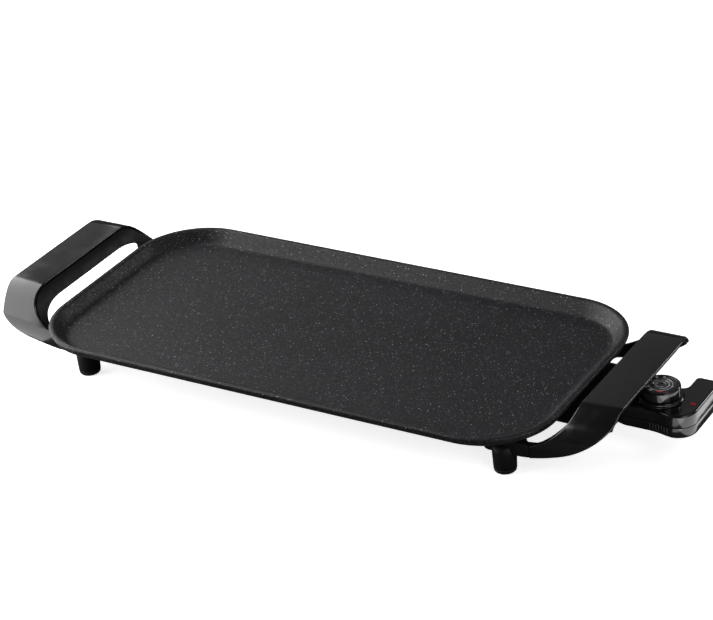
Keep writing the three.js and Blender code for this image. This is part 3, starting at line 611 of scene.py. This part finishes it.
# ------------------------------------------------------------------ controller
def arc(cx, cy, radius, start, end, steps):
    return [(cx + radius * math.cos(a), cy + radius * math.sin(a))
            for a in (math.radians(start + (end - start) * i / steps) for i in range(steps + 1))]


def controller_plan(inset=0.0):
    """The controller's outline: a body with a large front right corner, and the cord's tail."""
    x0, x1, front, back, tail_x, tail_back = 270, 333.5, -23, 20, 313, 40.5
    tail_round, hollow, front_round = max(3.5 - inset / 2, 0.4), 6 + inset, 16
    recess, bow_x, bow = 3.2, 298, 14
    bow_points = [
        (bow_x + bow * t,
         (1 - t) ** 2 * (front + recess) + 2 * (1 - t) * t * (front + 3)
         + t * t * (front + 1) + inset)
        for t in (0, 0.2, 0.4, 0.6, 0.8, 1)]
    tail_y = tail_back - inset - tail_round
    return ([(x0 + inset, front + 5 + inset)]
            + [(x0 + 7 + 14 * i / 3, front + recess + inset) for i in range(3)]
            + bow_points
            + arc(x1 - front_round, front + front_round, front_round - inset, -90, 0, 24)
            + arc(x1 - inset - tail_round, tail_y, tail_round, 0, 90, 8)
            + arc(tail_x + inset + tail_round, tail_y, tail_round, 90, 180, 8)
            + arc(tail_x + inset - hollow, back - inset + hollow, hollow, 0, -90, 12)
            + [(x0 + 8, back - inset), (x0 + inset, back - 2 - inset)])


def controller_shell(levels):
    return loft([[(x, y, z) for x, y in controller_plan(inset)] for inset, z in levels])


# Levels are (inset from the outline, z).
TOP_LEVELS = [(2, 33.3), (0.35, 33.3), (0.05, 33.5), (0, 33.9), (0, 42.1), (0.12, 42.8),
              (0.5, 43.45), (1.1, 43.85), (1.9, 44), (3, 44)]
BASE_LEVELS = [(3, 23.9), (1.6, 23.9), (0.8, 24.15), (0.25, 24.7), (0, 25.5), (0, 32.5),
               (0.05, 32.8), (0.35, 33), (2, 33)]
SEAM_LEVELS = [(0.9, 32.6), (0.9, 33.7)]
make("controller_top", controller_shell(TOP_LEVELS),
     "controller_gloss", "controller_upper_housing", "controller", sharp=40)
make("controller_base", controller_shell(BASE_LEVELS),
     "controller_gloss", "controller_lower_housing", "controller", sharp=40)
make("controller_seam", controller_shell(SEAM_LEVELS),
     "controller_matte", "controller_lower_housing", "controller")

GRIP_COUNT, GRIP_X, GRIP_PITCH, GRIP_WIDTH = 7, 298.2, 2.6, 1.3
GRIP_PROUD, GRIP_BURIED = 0.55, 1.5
# How far each level of a grip rib sinks into the wall, and its z.
GRIP_LEVELS = [(0.7, 25.6), (0.1, 26.2), (0, 27), (0, 31.5), (0.1, 32.1), (0.7, 32.6)]
wall = [p for p in controller_plan() if p[1] < -15][3:]
for i in range(GRIP_COUNT):
    x = GRIP_X + i * GRIP_PITCH
    y = curve_at(wall, x + 0.7, 0, 1)
    rib_plan = rounded([(x, y + GRIP_BURIED), (x, y - GRIP_PROUD),
                        (x + GRIP_WIDTH, y - GRIP_PROUD), (x + GRIP_WIDTH, y + GRIP_BURIED)],
                       0.6, 4, closed=True)
    make(f"controller_grip_{i + 1}",
         loft([[(px, py + sink, z) for px, py in rib_plan] for sink, z in GRIP_LEVELS]),
         "controller_matte", "controller_lower_housing", "controller")

DIAL_X, DIAL_STEPS = 300, 96
RING = [(4.5, 44.3), (18.1, 44.3), (18.45, 44.45), (18.5, 44.9), (18.3, 45.3), (17.7, 45.55),
        (17.45, 45.9), (17.5, 46.7), (17.2, 47.15), (16.6, 47.3), (4.5, 47.3), (4.5, 44.3)]
KNOB = [(0, 52.4), (13.6, 52.4), (14.1, 47.7), (14.6, 47.6), (15.4, 47.65), (15.7, 48.0),
        (15.75, 48.6), (15.75, 54.7), (15.6, 55.3), (15.1, 55.8), (14.4, 56.0), (13.6, 55.98),
        (13.2, 55.8), (13.0, 55.3), (12.95, 55.1), (0, 55.1)]
DISC = [(0, 55.4), (12.4, 55.4), (12.7, 55.5), (12.8, 55.65), (12.7, 55.8), (12.3, 55.88),
        (8.6, 55.9), (8.3, 55.72), (7.9, 55.7), (7.6, 55.88), (3.4, 55.9), (2.9, 55.7),
        (0, 55.62)]
make("dial_ring", lathe(DIAL_X, 0, RING, DIAL_STEPS),
     "controller_gloss", "dial_scale_ring", "controller")
make("dial_knob_body", lathe(DIAL_X, 0, KNOB, DIAL_STEPS),
     "dial_black", "dial_knob", "dial", sharp=45)
make("dial_disc", lathe(DIAL_X, 0, DISC, DIAL_STEPS),
     "dial_print", "dial_face", "dial", sharp=25)

PRINT_TOP, PRINT_DEPTH = 56.02, 0.25


def printed_arc(name, radius, width, start, end, look):
    """A thin raised band on the disc, from one angle to another."""
    steps = max(6, int(abs(end - start) / 4))
    outer, foot, shoulder = radius + width, PRINT_TOP - PRINT_DEPTH, PRINT_TOP - 0.05
    profile = ((radius, foot), (radius, shoulder), (radius + 0.06, PRINT_TOP),
               (outer - 0.06, PRINT_TOP), (outer, shoulder), (outer, foot))
    rings = []
    for i in range(steps + 1):
        a = math.radians(start + (end - start) * i / steps)
        rings.append([(DIAL_X + r * math.cos(a), r * math.sin(a), z) for r, z in profile])
    make(name, loft(rings), look, body="dial")


printed_arc("dial_arc_outer", 9.0, 0.75, -150, 95, "silver")
printed_arc("dial_arc_middle", 6.3, 0.8, -70, 190, "silver")
printed_arc("dial_arc_inner", 3.6, 0.8, 20, 320, "silver")
printed_arc("dial_arc_red", 9.9, 2.2, -82, -58, "red")

# Each digit is one line of points in a box 2 wide and 3 high.
STROKES = {
    "0": [(0, 0), (2, 0), (2, 3), (0, 3), (0, 0)],
    "1": [(0.4, 2.3), (1.1, 3), (1.1, 0)],
    "2": [(0, 2.6), (0.5, 3), (1.6, 3), (2, 2.5), (2, 1.9), (0, 0), (2, 0)],
    "3": [(0, 3), (2, 3), (1, 1.8), (2, 1.2), (2, 0.4), (1.5, 0), (0.4, 0), (0, 0.4)],
    "4": [(1.5, 0), (1.5, 3), (0, 1), (2.1, 1)],
    "5": [(2, 3), (0.2, 3), (0.1, 1.8), (1.5, 1.8), (2, 1.3), (2, 0.5), (1.5, 0), (0, 0)],
}
DIGIT_RADIUS, DIGIT_SIZE, STROKE_HALF, STROKE_OVERRUN = 10.1, 0.75, 0.22, 0.2
DIGIT_START, DIGIT_STEP = -110, 30


def printed_digit(digit, angle):
    centre = math.radians(angle)
    outward = (math.cos(centre), math.sin(centre))
    along = (math.sin(centre), -math.cos(centre))
    verts, faces = [], []
    line = STROKES[digit]
    for a, b in zip(line, line[1:]):
        length = math.dist(a, b)
        across = ((a[1] - b[1]) / length * STROKE_HALF, (b[0] - a[0]) / length * STROKE_HALF)
        ends = ((b[0] - a[0]) / length * STROKE_OVERRUN, (b[1] - a[1]) / length * STROKE_OVERRUN)
        first, last = (a[0] - ends[0], a[1] - ends[1]), (b[0] + ends[0], b[1] + ends[1])
        start = len(verts)
        for z in (PRINT_TOP - PRINT_DEPTH, PRINT_TOP):
            for (u, v), side_a in ((first, 1), (last, 1), (last, -1), (first, -1)):
                p = ((u + side_a * across[0] - 1) * DIGIT_SIZE,
                     (v + side_a * across[1]) * DIGIT_SIZE)
                verts.append((DIAL_X + outward[0] * (DIGIT_RADIUS + p[1]) + along[0] * p[0],
                              outward[1] * (DIGIT_RADIUS + p[1]) + along[1] * p[0], z))
        faces += [(start, start + 1, start + 2, start + 3),
                  (start + 4, start + 5, start + 6, start + 7)]
        faces += [(start + k, start + (k + 1) % 4, start + 4 + (k + 1) % 4, start + 4 + k)
                  for k in range(4)]
    make(f"dial_digit_{digit}", (verts, faces), "white", body="dial")


for i, digit in enumerate(STROKES):
    printed_digit(digit, DIGIT_START - i * DIGIT_STEP)

LENS_X = 326.6
LENS = [(0, 41), (3.4, 41), (3.4, 41.7), (2.4, 41.7), (2.4, 44.1), (2.2, 44.45), (1.6, 44.75),
        (0.8, 44.9), (0, 44.95)]
make("lens_dome", lathe(LENS_X, 0, LENS, 40), "lens_red", "indicator_lens", "controller",
     sharp=60)

GLAND_X, GLAND_Z = 324, 33.2
# The gland's bore and its ridges, as (radius, y).
GLAND = [(3.2, 36.5), (5.2, 36.5), (5.4, 36.8), (5.4, 38.0), (4.3, 38.2), (4.3, 40.8),
         (5.2, 40.85), (5.4, 41.1), (5.35, 42.6), (4.8, 42.8), (4.8, 43.3), (5.2, 43.5),
         (5.1, 44.6), (4.6, 44.8), (4.6, 45.3), (4.9, 45.5), (4.7, 46.3), (4.2, 46.5),
         (3.2, 46.5)]
make("cord_grommet", loft([[(GLAND_X + r * math.cos(a), y, GLAND_Z + r * math.sin(a))
                            for a in turn_angles(40)] for r, y in GLAND], closed=True),
     "controller_matte", "cord_gland", "controller")

# ------------------------------------------------------------------ floor, light and camera
FLOOR_GLOW, FLOOR_BOUNCE = 0.85, 0.12
FLOOR_Z, FLOOR_HALF = -0.0002, 8


def floor_material():
    mat, nodes, links, shader, where = material("floor_white")
    tone = ramp(nodes, links, noise(nodes, links, where, 2.0, 2),
                (0.3, (0.90, 0.90, 0.90)), (0.7, (0.92, 0.92, 0.92)))
    links.new(tone, shader.inputs["Base Color"])
    links.new(tone, shader.inputs["Emission Color"])
    shader.inputs["Roughness"].default_value = 0.85
    shader.inputs["Specular IOR Level"].default_value = 0.1
    shader.inputs["Emission Strength"].default_value = FLOOR_GLOW
    # The floor is bright to look at but throws little light back up at the object.
    path = nodes.new("ShaderNodeLightPath")
    dim = nodes.new("ShaderNodeBsdfDiffuse")
    dim.inputs["Color"].default_value = (FLOOR_BOUNCE, FLOOR_BOUNCE, FLOOR_BOUNCE, 1)
    choose = nodes.new("ShaderNodeMixShader")
    links.new(path.outputs["Is Camera Ray"], choose.inputs[0])
    links.new(dim.outputs[0], choose.inputs[1])
    links.new(shader.outputs[0], choose.inputs[2])
    # Seen from underneath, the floor lets the view through to the object.
    facing = nodes.new("ShaderNodeNewGeometry")
    below = nodes.new("ShaderNodeMath")
    below.operation = "MULTIPLY"
    links.new(facing.outputs["Backfacing"], below.inputs[0])
    links.new(path.outputs["Is Camera Ray"], below.inputs[1])
    clear = nodes.new("ShaderNodeBsdfTransparent")
    window = nodes.new("ShaderNodeMixShader")
    links.new(below.outputs[0], window.inputs[0])
    links.new(choose.outputs[0], window.inputs[1])
    links.new(clear.outputs[0], window.inputs[2])
    links.new(window.outputs[0], nodes["Material Output"].inputs[0])
    return mat


floor_mesh = bpy.data.meshes.new("floor")
floor_mesh.from_pydata([(FLOOR_HALF * x, FLOOR_HALF * y, FLOOR_Z)
                        for x, y in ((-1, -1), (1, -1), (1, 1), (-1, 1))], [], [(0, 1, 2, 3)])
floor_mesh.materials.append(floor_material())
floor = bpy.data.objects.new("floor", floor_mesh)
bpy.context.scene.collection.objects.link(floor)


def softbox(name, place, aim, size, radiance):
    data = bpy.data.lights.new(name, "AREA")
    data.shape, data.size, data.size_y = "RECTANGLE", size[0], size[1]
    data.energy = radiance * math.pi * size[0] * size[1]
    lamp = bpy.data.objects.new(name, data)
    lamp.location = place
    lamp.rotation_euler = (Vector(aim) - Vector(place)).to_track_quat("-Z", "Y").to_euler()
    bpy.context.scene.collection.objects.link(lamp)


def low_card(name, x, y, size, radiance):
    """A card just above the floor, facing up. Only undersides and low curves see it."""
    softbox(name, (x, y, 0.0006), (x, y, 1), size, radiance)


softbox("left_panel", (-0.95, -0.4, 0.75), (0.6, -0.4, 0.55), (2.0, 1.5), 4.6)
low_card("left_low_card", -0.6175, -0.5, (0.665, 0.81), 3.2)
low_card("right_low_card", 0.585, -0.06, (0.5, 0.48), 2.8)
low_card("front_low_card", 0.36, -0.22, (0.14, 0.3), 2.2)
softbox("back_panel", (-1.2, 1.85, 1.25), (0, 0, 0.06), (2.4, 1.2), 0.18)
softbox("back_left_panel", (-1.8, 1.72, 1.17), (-0.28, 0, 0.06), (0.75, 0.9), 0.10)
softbox("back_left_strip", (-1.5, 1.93, 1.12), (-0.28, 0, 0.06), (0.26, 0.8), 0.9)
softbox("back_right_panel", (1.3, 1.9, 1.0), (0.25, 0, 0.05), (0.5, 0.6), 12)
softbox("top_right", (1.1, 0.5, 1.9), (0, 0, 0), (1.2, 1.2), 0.9)
softbox("right_front", (1.35, -0.65, 0.85), (0.33, 0, 0.03), (0.7, 0.7), 4.0)

# Like the floor, the world is white to look at and lights the object only faintly.
WORLD_GLOW, BACKDROP = 0.05, 0.93
world = bpy.data.worlds.new("studio")
bpy.context.scene.world = world
world.use_nodes = True
sky, sky_links = world.node_tree.nodes, world.node_tree.links
sky["Background"].inputs["Color"].default_value = (0.96, 0.98, 1.0, 1)
sky["Background"].inputs["Strength"].default_value = WORLD_GLOW
backdrop = sky.new("ShaderNodeBackground")
backdrop.inputs["Color"].default_value = (BACKDROP, BACKDROP, BACKDROP, 1)
sky_path, sky_mix = sky.new("ShaderNodeLightPath"), sky.new("ShaderNodeMixShader")
sky_links.new(sky_path.outputs["Is Camera Ray"], sky_mix.inputs[0])
sky_links.new(sky["Background"].outputs[0], sky_mix.inputs[1])
sky_links.new(backdrop.outputs[0], sky_mix.inputs[2])
sky_links.new(sky_mix.outputs[0], sky["World Output"].inputs[0])
bpy.context.scene.view_settings.view_transform = "Standard"

# The photograph's viewpoint: 33 degrees round from the front towards the controller, looking
# 28 degrees down, with a roll of 5.5 degrees.
IMAGE_WIDTH, FOCAL_PIXELS, SENSOR_WIDTH = 713, 2452, 36
CAMERA_X, CAMERA_Y, CAMERA_Z = 1.0020, -1.4987, 1.0352
camera_data = bpy.data.cameras.new("camera")
camera = bpy.data.objects.new("camera", camera_data)
bpy.context.scene.collection.objects.link(camera)
right = Vector((0.8589, 0.5051, -0.0844))
up = Vector((-0.1785, 0.4497, 0.8752))
ahead = Vector((-0.4800, 0.7366, -0.4764))
turn = Matrix((right, up, -ahead)).transposed().to_4x4()
turn.translation = Vector((CAMERA_X + PLATE_X, CAMERA_Y, CAMERA_Z))
camera.matrix_world = turn
camera_data.sensor_width = SENSOR_WIDTH
camera_data.lens = FOCAL_PIXELS / IMAGE_WIDTH * SENSOR_WIDTH
bpy.context.scene.camera = camera
